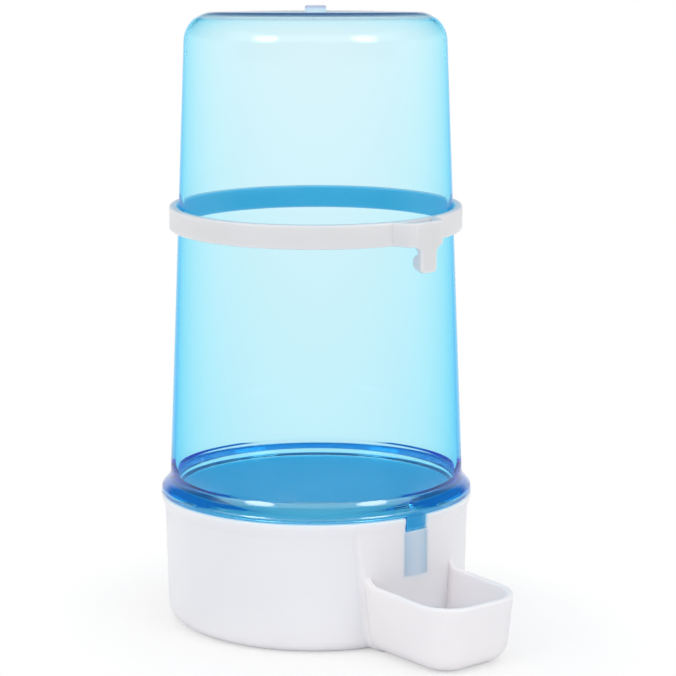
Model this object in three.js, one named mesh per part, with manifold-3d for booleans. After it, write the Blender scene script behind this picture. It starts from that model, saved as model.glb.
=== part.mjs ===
// Hanging siphon drinker for cage birds: a clear tank stands upside down in a white
// drinking base with one spout, and a ring with a wire hook is wedged on the tank.
// Millimetres, +Z up. The origin is under the middle of the base, the spout points to -Y.

import * as THREE from 'three';
import { mergeVertices } from 'three/addons/utils/BufferGeometryUtils.js';
import Module from 'manifold-3d';

const wasm = await Module();
wasm.setup();

// Drinking base: the cup
const CUP_HEIGHT = 26.4; // underside to rim
const CUP_DRAFT = 1.1; // degrees, wider at the top
const CUP_WALL = 1.4;
const CUP_FLOOR = 1.5;
const CUP_EDGE_RADIUS = 3.3; // round bottom edge
const LIP_OVERHANG = 0.8; // past the wall of the cup
const LIP_FLARE = 2.2; // height over which the wall flares into the lip
const LIP_BAND = 0.8; // upright part of the lip above the flare
const LIP_ROUNDING = 0.3;
const LIP_REVEAL = 0.1; // past the flange of the tank
const NOTCH_DEPTH = 2.8; // below the rim, for the head of the key

// Drinking base: the spout and the passage to it
const SPOUT_LENGTH = 20.65; // wall over the spout to the tip, at the spout's rim
const SPOUT_HALF_WIDTH = 11.4; // at the spout's rim
const SPOUT_RIM_HEIGHT = 14.15; // where the rim meets the cup
const SPOUT_RIM_FALL = 2.2; // degrees, down towards the tip
const SPOUT_DRAFT = 6.3; // degrees, cheeks and tip lean outwards
const SPOUT_CORNER_RADIUS = 7.9; // corners of the tip, seen from above
const SPOUT_EDGE_RADIUS = 3.8; // round bottom edge
const SPOUT_WALL = 1.4;
const SPOUT_ROOT_FILLET = 1.8; // between the spout's rim and the cup above it
const PANEL_SETBACK = 0.2; // wall over the spout, behind the outside of the lip
const PASSAGE_WIDTH = 13.0;
const PASSAGE_HEIGHT = 5.4; // above the floor

// Reservoir tank
const TANK_HEIGHT = 97.4; // rim of the base to the crest of the tank
const TANK_FOOT_RADIUS = 30.2; // outside of the wall, at the rim of the base
const TANK_TAPER = 2.37; // degrees, narrower at the top
const TANK_WALL = 1.5; // at the foot
const CROWN_WALL = 0.8; // at the closed top, where the tank is thinnest
const SHOULDER_RADIUS = 6.0;
const DISH_DEPTH = 0.8; // hollow of the closed top
const BOSS_RADIUS = 2.15; // gate boss in the middle of the top
const BOSS_RISE = 1.25; // above the crest
const BOSS_ROUNDING = 0.4;
const FLANGE_OVERHANG = 1.7; // flange past the wall
const FLANGE_EDGE = 0.9; // height of its upright outer edge
const FLANGE_SLOPE = 2.1; // height over which it slopes up to the wall
const MOUTH_DEPTH = 4.7; // mouth of the neck below the spout's rim, so that water stays in
const NECK_CHAMFER = 0.4;

// Key of the tank, in the notch of the rim
const KEY_WIDTH = 5.0;
const KEY_LENGTH = 11.6; // below the flange
const KEY_RISE = 1.3; // past the neck
const KEY_HEAD_SETBACK = 0.4; // behind the outside of the lip
const KEY_LEAD_IN = 0.8;

// Hanging ring and its hook
const RING_MIDDLE = 56.5; // above the rim of the base
const RING_HEIGHT = 4.7;
const RING_WALL = 1.5;
const RING_ROUNDING = 0.4;
const RING_TURN = 2.9; // degrees, the hook stands this far from the spout
const RING_LEAN = 2.2; // degrees, the wedged band sits a little askew
const RING_LEAN_HEADING = -39; // degrees from the spout to its low side
const BOW_HALF_SPAN = 6.8; // strap that stands off the band
const BOW_GAP = 2.2; // between the band and the strap
const BOW_THICKNESS = 1.4;
const TONGUE_WIDTH = 4.0;
const TONGUE_LENGTH = 5.2; // below the band
const TONGUE_FILLET = 1.6;
const BEAD_RADIUS = 1.6; // half-round bead that keeps the wire in
const BEAD_HEIGHT = 1.9; // above the end of the tongue

// Clearances
const SEAT_GAP = 0.2; // flange above the rim
const NECK_PLAY = 0.35; // neck to cup, all round
const KEY_PLAY = 0.3; // key to notch and groove
const RING_PLAY = 0.3; // band to tank, all round

// Fineness of the facets
const TURN_STEPS = 80;
const ARC_STEPS = 6;

const tangent = (degrees) => Math.tan(THREE.MathUtils.degToRad(degrees));
const LIP_FOOT = CUP_HEIGHT - LIP_BAND - LIP_FLARE;
const NOTCH_FOOT = CUP_HEIGHT - NOTCH_DEPTH;
const FLANGE_BOTTOM = CUP_HEIGHT + SEAT_GAP;
const FLANGE_TOP = FLANGE_BOTTOM + FLANGE_EDGE;
const FLANGE_RADIUS = TANK_FOOT_RADIUS + FLANGE_OVERHANG;
const CREST_HEIGHT = CUP_HEIGHT + TANK_HEIGHT;
const NECK_FOOT = SPOUT_RIM_HEIGHT - MOUTH_DEPTH;
const LIP_RADIUS = FLANGE_RADIUS + LIP_REVEAL;
const PANEL_RADIUS = LIP_RADIUS - PANEL_SETBACK;
const SPOUT_REACH = PANEL_RADIUS + SPOUT_LENGTH;
const BEYOND = 10; // cutters run this far past what they cut

const cupOutside = (z) => LIP_RADIUS - LIP_OVERHANG + (z - LIP_FOOT) * tangent(CUP_DRAFT);
const cupInside = (z) => cupOutside(z) - CUP_WALL;
const neckOutside = (z) => cupInside(z) - NECK_PLAY;
const tankOutside = (z) => TANK_FOOT_RADIUS - (z - CUP_HEIGHT) * tangent(TANK_TAPER);

// Points of a circular arc about (x, y), from one angle to another in degrees
function arc(x, y, radius, from, to, steps = ARC_STEPS) {
  return Array.from({ length: steps + 1 }, (_, i) => {
    const angle = THREE.MathUtils.degToRad(from + ((to - from) * i) / steps);
    return new THREE.Vector2(x + radius * Math.cos(angle), y + radius * Math.sin(angle));
  });
}

const point = (x, y) => new THREE.Vector2(x, y);

// Closed geometry to a solid that can be joined and cut
function solid(geometry) {
  const bare = geometry.clone();
  bare.deleteAttribute('normal');
  bare.deleteAttribute('uv');
  const merged = mergeVertices(bare, 1e-4);
  const corners = merged.index.array;
  const triangles = [];
  for (let i = 0; i < corners.length; i += 3) {
    const [a, b, c] = corners.slice(i, i + 3);
    if (a !== b && b !== c && c !== a) triangles.push(a, b, c);
  }
  const mesh = new wasm.Mesh({
    numProp: 3,
    vertProperties: new Float32Array(merged.attributes.position.array),
    triVerts: new Uint32Array(triangles),
  });
  return new wasm.Manifold(mesh);
}

// Solid back to a geometry
function geometryOf(body) {
  const { vertProperties, triVerts } = body.getMesh();
  const geometry = new THREE.BufferGeometry();
  geometry.setAttribute('position', new THREE.BufferAttribute(vertProperties, 3));
  geometry.setIndex(new THREE.BufferAttribute(triVerts, 1));
  geometry.computeVertexNormals();
  return geometry;
}

// Profile of (radius, height) points turned about Z
function turned(profile, start = 0) {
  return solid(new THREE.LatheGeometry(profile, TURN_STEPS, start).rotateX(Math.PI / 2));
}

// Outline in the XY plane raised from one height to another
function raised(shape, bottom, top) {
  const geometry = new THREE.ExtrudeGeometry(shape, {
    depth: top - bottom,
    bevelEnabled: false,
    curveSegments: ARC_STEPS,
  });
  return solid(geometry.translate(0, 0, bottom));
}

// Outline of (distance towards the spout, height) points, given a width across X
function sideways(points, width) {
  const geometry = new THREE.ExtrudeGeometry(new THREE.Shape(points), {
    depth: width,
    bevelEnabled: false,
  });
  geometry.translate(0, 0, -width / 2);
  geometry.rotateX(Math.PI / 2);
  return solid(geometry.rotateZ(-Math.PI / 2));
}

// Skin over level outlines that all have as many points, with flat ends
function lofted(sections) {
  const count = sections[0].length;
  const positions = sections.flat().flatMap((p) => [p.x, p.y, p.z]);
  const index = [];
  for (let s = 0; s + 1 < sections.length; s += 1) {
    for (let i = 0; i < count; i += 1) {
      const here = s * count + i;
      const next = s * count + ((i + 1) % count);
      index.push(here, next, next + count, here, next + count, here + count);
    }
  }
  const lid = (sections.length - 1) * count;
  for (let i = 1; i + 1 < count; i += 1) {
    index.push(0, i + 1, i, lid, lid + i, lid + i + 1);
  }
  const geometry = new THREE.BufferGeometry();
  geometry.setAttribute('position', new THREE.Float32BufferAttribute(positions, 3));
  geometry.setIndex(index);
  return solid(geometry);
}

function named(name, body, material) {
  const mesh = new THREE.Mesh(geometryOf(body), material);
  mesh.name = name;
  return mesh;
}

// One level outline of the spout: straight cheeks and a tip with round corners
function spoutOutline(z, inset, root) {
  const lean = (z - SPOUT_RIM_HEIGHT) * tangent(SPOUT_DRAFT);
  const half = SPOUT_HALF_WIDTH + lean - inset;
  const reach = SPOUT_REACH + lean - inset;
  const corner = SPOUT_CORNER_RADIUS - inset;
  const points = [
    point(-half, -root),
    ...arc(corner - half, corner - reach, corner, 180, 270),
    ...arc(half - corner, corner - reach, corner, 270, 360),
    point(half, -root),
  ];
  return points.map((p) => new THREE.Vector3(p.x, p.y, z));
}

// Spout body that stands on a level floor with a round bottom edge, up to a given height
function spoutBody(floor, top, inset, edge, root) {
  const sections = arc(edge, floor + edge, edge, 270, 180).map((p) =>
    spoutOutline(p.y, inset + p.x, root),
  );
  sections.push(spoutOutline(top, inset, root));
  return lofted(sections);
}

function drinkingBase() {
  const outside = turned([
    point(0, 0),
    ...arc(cupOutside(0) - CUP_EDGE_RADIUS, CUP_EDGE_RADIUS, CUP_EDGE_RADIUS, -90, 0),
    point(cupOutside(LIP_FOOT), LIP_FOOT),
    point(LIP_RADIUS, LIP_FOOT + LIP_FLARE),
    ...arc(LIP_RADIUS - LIP_ROUNDING, CUP_HEIGHT - LIP_ROUNDING, LIP_ROUNDING, 0, 90, 3),
    point(0, CUP_HEIGHT),
  ]);
  const innerEdge = CUP_EDGE_RADIUS - CUP_WALL;
  const well = turned([
    point(0, CUP_FLOOR),
    ...arc(cupInside(CUP_FLOOR) - innerEdge, CUP_FLOOR + innerEdge, innerEdge, -90, 0),
    point(cupInside(CUP_HEIGHT + BEYOND), CUP_HEIGHT + BEYOND),
    point(0, CUP_HEIGHT + BEYOND),
  ]);

  // Above the spout's rim only a raised panel of the wall stays, and the trough is open.
  // The panel's facets stand between those of the lip that it runs into.
  const between = Math.PI / TURN_STEPS;
  const far = SPOUT_REACH + BEYOND;
  const rimEnd = SPOUT_RIM_HEIGHT - (far - PANEL_RADIUS) * tangent(SPOUT_RIM_FALL);
  const fillet = SPOUT_ROOT_FILLET;
  const overSpout = turned([
    point(PANEL_RADIUS, CUP_HEIGHT + BEYOND),
    ...arc(PANEL_RADIUS + fillet, SPOUT_RIM_HEIGHT + fillet, fillet, 180, 270),
    point(far, rimEnd),
    point(far, CUP_HEIGHT + BEYOND),
    point(PANEL_RADIUS, CUP_HEIGHT + BEYOND),
  ], between);
  const cupFace = turned([
    point(0, -BEYOND),
    point(PANEL_RADIUS, -BEYOND),
    point(PANEL_RADIUS, CUP_HEIGHT + BEYOND),
    point(0, CUP_HEIGHT + BEYOND),
  ], between);
  const root = cupInside(0) / 2;
  const innerSpoutEdge = SPOUT_EDGE_RADIUS - SPOUT_WALL;
  const trough = spoutBody(CUP_FLOOR, CUP_HEIGHT, SPOUT_WALL, innerSpoutEdge, root).subtract(cupFace);
  const block = spoutBody(0, CUP_HEIGHT - LIP_BAND / 2, 0, SPOUT_EDGE_RADIUS, root);
  const spout = block.subtract(overSpout.add(trough));

  const passageTop = CUP_FLOOR + PASSAGE_HEIGHT;
  const passage = sideways([
    point(root, CUP_FLOOR),
    point(LIP_RADIUS + SPOUT_WALL, CUP_FLOOR),
    point(LIP_RADIUS + SPOUT_WALL, passageTop),
    point(root, passageTop),
  ], PASSAGE_WIDTH);

  // Groove for the key down the inside of the wall, open through the rim as a notch
  const groove = keyFace() + KEY_PLAY;
  const notch = sideways([
    point(root, keyFoot() - KEY_PLAY),
    point(groove, keyFoot() - KEY_PLAY),
    point(groove, NOTCH_FOOT),
    point(LIP_RADIUS + BEYOND, NOTCH_FOOT),
    point(LIP_RADIUS + BEYOND, CUP_HEIGHT + BEYOND),
    point(root, CUP_HEIGHT + BEYOND),
  ], KEY_WIDTH + 2 * KEY_PLAY);

  return outside.add(spout).subtract(well.add(passage).add(notch));
}

const keyFace = () => neckOutside(NOTCH_FOOT) + KEY_RISE;
const keyFoot = () => FLANGE_BOTTOM - KEY_LENGTH;

function reservoirTank() {
  const sideEnd = CREST_HEIGHT - SHOULDER_RADIUS;
  const crest = tankOutside(sideEnd) - SHOULDER_RADIUS;
  const dish = (r) => DISH_DEPTH * (1 - (r / crest) ** 2);
  const acrossDish = (from, to) =>
    Array.from({ length: ARC_STEPS }, (_, i) => from + ((to - from) * (i + 1)) / ARC_STEPS);
  const ceiling = CREST_HEIGHT - CROWN_WALL;
  const innerShoulder = SHOULDER_RADIUS - CROWN_WALL;
  const slopeTop = FLANGE_TOP + FLANGE_SLOPE;
  const neckInside = (z) => neckOutside(z) - TANK_WALL;
  const bossTop = CREST_HEIGHT + BOSS_RISE;

  const inside = [
    point(0, ceiling - dish(0)),
    ...acrossDish(0, crest).map((r) => point(r, ceiling - dish(r))),
    ...arc(crest, ceiling - innerShoulder, innerShoulder, 90, 0).slice(1),
    point(tankOutside(slopeTop) - TANK_WALL, slopeTop),
    point(neckInside(FLANGE_BOTTOM), FLANGE_BOTTOM),
    point(neckInside(NECK_FOOT), NECK_FOOT),
  ];
  const outside = [
    point(neckOutside(NECK_FOOT) - NECK_CHAMFER, NECK_FOOT),
    point(neckOutside(NECK_FOOT + NECK_CHAMFER), NECK_FOOT + NECK_CHAMFER),
    point(neckOutside(FLANGE_BOTTOM), FLANGE_BOTTOM),
    point(FLANGE_RADIUS, FLANGE_BOTTOM),
    point(FLANGE_RADIUS, FLANGE_TOP),
    point(tankOutside(slopeTop), slopeTop),
    ...arc(crest, sideEnd, SHOULDER_RADIUS, 0, 90),
    ...acrossDish(crest, BOSS_RADIUS).map((r) => point(r, CREST_HEIGHT - dish(r))),
    ...arc(BOSS_RADIUS - BOSS_ROUNDING, bossTop - BOSS_ROUNDING, BOSS_ROUNDING, 0, 90, 2),
    point(0, bossTop),
  ];

  // The key grows out of the neck and its head fills the notch of the rim
  const buried = neckInside(NECK_FOOT) + TANK_WALL / 2;
  const head = LIP_RADIUS - KEY_HEAD_SETBACK;
  const key = sideways([
    point(buried, keyFoot()),
    point(keyFace() - KEY_LEAD_IN, keyFoot()),
    point(keyFace(), keyFoot() + KEY_LEAD_IN),
    point(keyFace(), NOTCH_FOOT + KEY_PLAY),
    point(head, NOTCH_FOOT + KEY_PLAY),
    point(head, FLANGE_TOP - FLANGE_EDGE / 2),
    point(buried, FLANGE_TOP - FLANGE_EDGE / 2),
  ], KEY_WIDTH);
  return turned([...inside, ...outside]).add(key);
}

// The ring is built about its own middle plane, with the hook towards -Y
function hangingRing() {
  const half = RING_HEIGHT / 2;
  const middle = CUP_HEIGHT + RING_MIDDLE;
  const inside = (z) => tankOutside(middle + z) + RING_PLAY;
  const outside = inside(0) + RING_WALL;
  const bandProfile = [
    point(inside(-half), -half),
    ...arc(outside - RING_ROUNDING, RING_ROUNDING - half, RING_ROUNDING, -90, 0, 2),
    ...arc(outside - RING_ROUNDING, half - RING_ROUNDING, RING_ROUNDING, 0, 90, 2),
    point(inside(half), half),
    point(inside(-half), -half),
  ];
  const band = turned(bandProfile);

  // Seen from above, the strap leaves the band in two smooth curves and runs flat in front
  const strapBack = outside + BOW_GAP;
  const strapFront = strapBack + BOW_THICKNESS;
  const flat = TONGUE_WIDTH / 2 + TONGUE_FILLET / 2;
  const bowLine = (front, span, rootDepth) => {
    const line = new THREE.Shape();
    line.moveTo(-span, -rootDepth);
    line.bezierCurveTo((-span - flat) / 2, -rootDepth, (-span - flat) / 2, -front, -flat, -front);
    line.lineTo(flat, -front);
    line.bezierCurveTo((span + flat) / 2, -front, (span + flat) / 2, -rootDepth, span, -rootDepth);
    return line;
  };
  const rootDepth = Math.sqrt(outside ** 2 - BOW_HALF_SPAN ** 2) - RING_WALL / 2;
  const bow = raised(bowLine(strapFront, BOW_HALF_SPAN, rootDepth), -half, half);
  const slotHalf = BOW_HALF_SPAN - BOW_THICKNESS;
  const slot = raised(bowLine(strapBack, slotHalf, rootDepth), -half - BEYOND, half + BEYOND);
  const buried = outside - RING_WALL / 2;
  const bore = turned([
    point(0, -half - BEYOND),
    point(buried, -half - BEYOND),
    point(buried, half + BEYOND),
    point(0, half + BEYOND),
  ]);
  const strap = bow.subtract(slot).subtract(bore);

  // The tongue flares into the strap and carries the bead on its back
  const tongueEnd = -half - TONGUE_LENGTH;
  const tongueHalf = TONGUE_WIDTH / 2;
  const flare = tongueHalf + TONGUE_FILLET;
  const tongueShape = new THREE.Shape([
    point(-flare, half),
    ...arc(-flare, -half - TONGUE_FILLET, TONGUE_FILLET, 90, 0),
    point(-tongueHalf, tongueEnd),
    point(tongueHalf, tongueEnd),
    ...arc(flare, -half - TONGUE_FILLET, TONGUE_FILLET, 180, 90),
    point(flare, half),
  ]);
  const plate = new THREE.ExtrudeGeometry(tongueShape, {
    depth: BOW_THICKNESS,
    bevelEnabled: false,
  });
  const tongue = solid(plate.rotateX(Math.PI / 2).translate(0, -strapBack, 0));
  const roll = new THREE.CylinderGeometry(BEAD_RADIUS, BEAD_RADIUS, TONGUE_WIDTH, 4 * ARC_STEPS);
  roll.rotateZ(Math.PI / 2).translate(0, -strapBack, tongueEnd + BEAD_HEIGHT);
  const frontCut = new THREE.BoxGeometry(2 * BOW_HALF_SPAN, BEYOND, RING_HEIGHT + 2 * BEYOND);
  frontCut.translate(0, -strapFront - BEYOND / 2, tongueEnd);
  const bead = solid(roll).subtract(solid(frontCut));

  return band.add(strap).add(tongue).add(bead);
}

const clearBlue = new THREE.MeshStandardMaterial({
  color: 0x8ad4f0,
  roughness: 0.08,
  metalness: 0,
  transparent: true,
  opacity: 0.4,
});
const milkyWhite = new THREE.MeshStandardMaterial({ color: 0xe8e7ea, roughness: 0.4, metalness: 0 });
const softWhite = new THREE.MeshStandardMaterial({ color: 0xdfe2e6, roughness: 0.42, metalness: 0 });

const ring = named('hanging_ring', hangingRing(), softWhite);
ring.rotation.z = THREE.MathUtils.degToRad(RING_TURN - RING_LEAN_HEADING);
const lean = new THREE.Group();
lean.rotation.x = THREE.MathUtils.degToRad(RING_LEAN);
lean.add(ring);
const ringPlace = new THREE.Group();
ringPlace.rotation.z = THREE.MathUtils.degToRad(RING_LEAN_HEADING);
ringPlace.position.z = CUP_HEIGHT + RING_MIDDLE;
ringPlace.add(lean);

const drinker = new THREE.Group();
drinker.name = 'bird_water_fountain';
drinker.add(
  named('drinking_base', drinkingBase(), milkyWhite),
  named('reservoir_tank', reservoirTank(), clearBlue),
  ringPlace,
);

export default drinker;
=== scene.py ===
# %% [markdown]
# # A bird water fountain, piece by piece
# The object is a hanging siphon drinker for cage birds. A clear blue tank stands upside down
# in a milky white cup, the cup has one drinking spout, and a white ring on the tank carries a
# hook for a wire of the cage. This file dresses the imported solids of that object: it builds
# each moulding again as a fine, smooth mesh, gives it a finish and sets up a studio.

# %% The frame
import math

import bmesh
import bpy
import numpy as np
from mathutils import Matrix, Vector


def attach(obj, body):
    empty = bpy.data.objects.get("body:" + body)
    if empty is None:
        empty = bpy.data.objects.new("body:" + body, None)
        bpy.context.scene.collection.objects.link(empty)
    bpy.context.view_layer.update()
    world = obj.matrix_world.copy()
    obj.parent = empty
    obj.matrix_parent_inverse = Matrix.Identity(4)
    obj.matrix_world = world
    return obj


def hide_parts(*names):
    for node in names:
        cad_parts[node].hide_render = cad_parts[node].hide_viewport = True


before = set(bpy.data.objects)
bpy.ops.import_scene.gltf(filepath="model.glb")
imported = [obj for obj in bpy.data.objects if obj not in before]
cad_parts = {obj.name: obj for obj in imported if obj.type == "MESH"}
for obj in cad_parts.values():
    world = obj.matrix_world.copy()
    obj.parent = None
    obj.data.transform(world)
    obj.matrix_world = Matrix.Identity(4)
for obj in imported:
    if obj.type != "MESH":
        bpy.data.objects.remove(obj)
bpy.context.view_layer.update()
print("mouldings in the frame:", sorted(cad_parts))

# %% [markdown]
# ## Where the camera stands
# The photograph was taken with a long lens from a little above the middle of the tank, and the
# spout points to the right of the camera. The place is written as a heading, a height angle and
# a distance, because those are easier to read off a picture than three coordinates.

# %% Camera
CAMERA_HEADING = math.radians(-38.7)
CAMERA_RISE = math.radians(9.45)
CAMERA_DISTANCE = 0.4303
AIM_TO_RIGHT = 0.00448
AIM_HEIGHT = 0.05766
SENSOR = 36
FOCAL_PIXELS = 2100
FRAME_PIXELS = 676


def direction(heading, rise):
    """Unit vector away from the object. Heading 0 is the side that the spout points to."""
    return Vector((
        math.sin(heading) * math.cos(rise),
        -math.cos(heading) * math.cos(rise),
        math.sin(rise),
    ))


to_camera = direction(CAMERA_HEADING, CAMERA_RISE)
to_right = Vector((math.cos(CAMERA_HEADING), math.sin(CAMERA_HEADING), 0))
aim = to_right * AIM_TO_RIGHT + Vector((0, 0, AIM_HEIGHT))
lens = bpy.data.cameras.new("studio_camera")
lens.sensor_width = SENSOR
lens.lens = SENSOR * FOCAL_PIXELS / FRAME_PIXELS
lens.clip_start = 0.01
camera = bpy.data.objects.new("studio_camera", lens)
camera.location = aim + to_camera * CAMERA_DISTANCE
camera.rotation_euler = (-to_camera).to_track_quat("-Z", "Y").to_euler()
bpy.context.scene.collection.objects.link(camera)
bpy.context.scene.camera = camera
print("camera", [round(c, 4) for c in camera.location], "lens", round(lens.lens, 1), "mm")

# %% [markdown]
# ## Tools for turned and drafted mouldings
# Almost every surface here is a profile turned about the upright axis, as on a lathe. The Spin
# tool or a Screw modifier would do that too. Writing the rings out point by point is chosen
# because one profile can then change a little on its way round, which the cup needs where its
# spout begins. Profiles are in millimetres and angles in degrees, as a drawing would give them.

# %% Profile helpers


def slope(degrees):
    """Sideways travel for each millimetre of height on a wall with this draft."""
    return math.tan(math.radians(degrees))


def arc(x, y, radius, start, end, steps=8):
    """Points of a circular arc between two angles."""
    angles = np.radians(np.linspace(start, end, steps + 1))
    return [(x + radius * math.cos(a), y + radius * math.sin(a)) for a in angles]


def straight(start, end, steps):
    """Points of a straight run after its start, so that long walls get even faces."""
    return [tuple(np.add(start, np.subtract(end, start) * k / steps)) for k in range(1, steps + 1)]


def rounded(corners, steps=6):
    """A line through (x, y, radius) corners, each one rounded with its own radius."""
    line = []
    for i, (x, y, radius) in enumerate(corners):
        if radius == 0 or i in (0, len(corners) - 1):
            line.append((x, y))
            continue
        corner = Vector((x, y))
        back = (Vector(corners[i - 1][:2]) - corner).normalized()
        ahead = (Vector(corners[i + 1][:2]) - corner).normalized()
        half = back.angle(ahead) / 2
        cut = radius / math.tan(half)
        start = corner + back * cut
        end = corner + ahead * cut
        centre = corner + (back + ahead).normalized() * (radius / math.sin(half))
        for t in np.linspace(0, 1, steps + 1):
            spoke = (start - centre).lerp(end - centre, t).normalized()
            line.append(tuple(centre + spoke * radius))
    return line


def evened(line, longest):
    """The same line with every run longer than this cut into equal pieces."""
    points = [line[0]]
    for start, end in zip(line, line[1:]):
        points += straight(start, end, max(1, math.ceil(math.dist(start, end) / longest)))
    return points


print("a quarter turn has", len(arc(0, 0, 1, 0, 90)), "points")

# %% Turning helpers
MM = 0.001
MERGE = 1e-7
EVEN_TURN = np.linspace(-math.pi, math.pi, 360, endpoint=False)


def moulding(name, points, faces):
    """A mesh object from points in millimetres, with doubles merged and faces turned outwards."""
    mesh = bpy.data.meshes.new(name)
    mesh.from_pydata([tuple(float(c) * MM for c in p) for p in points], [], faces)
    work = bmesh.new()
    work.from_mesh(mesh)
    bmesh.ops.remove_doubles(work, verts=work.verts, dist=MERGE)
    bmesh.ops.dissolve_degenerate(work, edges=work.edges, dist=MERGE)
    bmesh.ops.recalc_face_normals(work, faces=work.faces)
    work.to_mesh(mesh)
    work.free()
    piece = bpy.data.objects.new(name, mesh)
    bpy.context.scene.collection.objects.link(piece)
    return piece


def turned(name, profile, angles, loop=False):
    """profile(angle) gives the (radius, height) points met at that angle of the turn."""
    rings = [profile(a) for a in angles]
    count = len(rings[0])
    points = []
    for a, ring in zip(angles, rings):
        points += [(r * math.sin(a), -r * math.cos(a), z) for r, z in ring]
    faces = []
    for j in range(len(angles)):
        here, there = j * count, ((j + 1) % len(angles)) * count
        for i in range(count if loop else count - 1):
            k = (i + 1) % count
            faces.append((here + i, here + k, there + k, there + i))
    return moulding(name, points, faces)


print("even turn:", len(EVEN_TURN), "steps of", round(360 / len(EVEN_TURN), 2), "degrees")

# %% Joining and cutting helpers
SHARP = math.radians(40)
CRISP = math.radians(34)


def combined(piece, other, operation):
    """Boolean of two closed meshes. The second one is used up."""
    step = piece.modifiers.new("combined", "BOOLEAN")
    step.object = other
    step.operation = operation
    step.solver = "EXACT"
    graph = bpy.context.evaluated_depsgraph_get()
    result = bpy.data.meshes.new_from_object(piece.evaluated_get(graph))
    piece.modifiers.clear()
    spare = piece.data
    piece.data = result
    result.name = piece.name
    bpy.data.meshes.remove(spare)
    bpy.data.objects.remove(other)
    return piece


def raised(name, outline, bottom, top, rounding=0.0):
    """A plate with this outline in the XY plane, its edges rounded off."""
    count = len(outline)
    points = [(x, y, z) for z in (bottom, top) for x, y in outline]
    sides = [(i, (i + 1) % count, count + (i + 1) % count, count + i) for i in range(count)]
    plate = moulding(name, points, [tuple(range(count)), tuple(range(count, 2 * count)), *sides])
    if rounding:
        work = bmesh.new()
        work.from_mesh(plate.data)
        edges = [e for e in work.edges if e.calc_face_angle(0) > SHARP]
        bmesh.ops.bevel(
            work, geom=edges, offset=rounding * MM, segments=3, profile=0.5, affect="EDGES",
        )
        work.to_mesh(plate.data)
        work.free()
    return plate


def smooth(piece):
    """Smooth shading that stays crisp over real corners."""
    piece.data.shade_smooth()
    piece.data.set_sharp_from_angle(angle=CRISP)
    work = bmesh.new()
    work.from_mesh(piece.data)
    open_edges = sum(len(e.link_faces) != 2 for e in work.edges)
    millilitres = work.calc_volume() * 1e6
    work.free()
    print(piece.name, len(piece.data.polygons), "faces,", open_edges, "open edges")
    print(piece.name, "takes", round(millilitres, 2), "ml of plastic")
    return piece


print("edges sharper than", round(math.degrees(CRISP)), "degrees stay crisp")

# %% [markdown]
# ## The tank
# The tank is a tapered tumbler of clear polystyrene, used upside down. Its closed top is slightly
# hollow, with the little boss that the plastic was injected through. Near the foot the wall slopes
# out into a thick flange that rests on the rim of the cup, and below the flange a neck dips into the
# water. The neck follows the inside of the cup, so the sizes of the cup's wall come first too.

# %% Sizes of the tank
RIM = 26.4
RIM_RADIUS = 32.0
LIP_FOOT = 23.4
LIP_FLARE = 0.8
CUP_WALL = 1.4
CUP_DRAFT = slope(1.1)
TANK_FOOT = 30.2
TANK_TAPER = slope(2.37)
TANK_WALL = 1.5
CROWN_WALL = 0.8
CREST = 123.8
SHOULDER = 6.0
DISH = 0.8
FLANGE_RADIUS = 31.9
FLANGE_BOTTOM = 26.6
FLANGE_TOP = 27.5
SLOPE_TOP = 29.6
NECK_FOOT = 9.45
NECK_GAP = 0.35


def tank_outside(z):
    return TANK_FOOT - (z - RIM) * TANK_TAPER


def cup_outside(z):
    return RIM_RADIUS - LIP_FLARE + (z - LIP_FOOT) * CUP_DRAFT


def cup_inside(z):
    return cup_outside(z) - CUP_WALL


def neck_outside(z):
    return cup_inside(z) - NECK_GAP


side_end = CREST - SHOULDER
crest_radius = tank_outside(side_end) - SHOULDER
print("side wall ends at", side_end, "mm, the crown is", round(2 * crest_radius, 1), "mm across")

# %% [markdown]
# The slope above the flange turns the line of sight down into the neck, through a long stretch of
# plastic, and that is what shows as a dark blue ring. Clear plastic only looks right as a real wall
# with two faces, so the profile goes down the inside, round the mouth and up the outside. The hollow
# above the flange is a large fillet, because that is where the lamps are mirrored.

# %% Tank wall
INNER_FILLET = 3.0
SLOPE_FILLET = 4.0
MOUTH_ROUNDING = 0.4
NECK_CORNER = 0.15
FLANGE_FOOT_ROUNDING = 0.1
FLANGE_TOP_ROUNDING = 1.2
BOSS_RADIUS = 2.15
BOSS_TOP = 125.05
BOSS_FILLET = 0.6
BOSS_ROUNDING = 0.45
BOSS_DIMPLE = [(1.2, BOSS_TOP), (1.0, BOSS_TOP - 0.1), (0, BOSS_TOP - 0.12)]
CROWN_END = 2.9
LONGEST_WALL = 3.5


def dished(radius, top):
    """A point of the hollow crown, where top is the height of its edge."""
    return (radius, top - DISH * (1 - (radius / crest_radius) ** 2))


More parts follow.
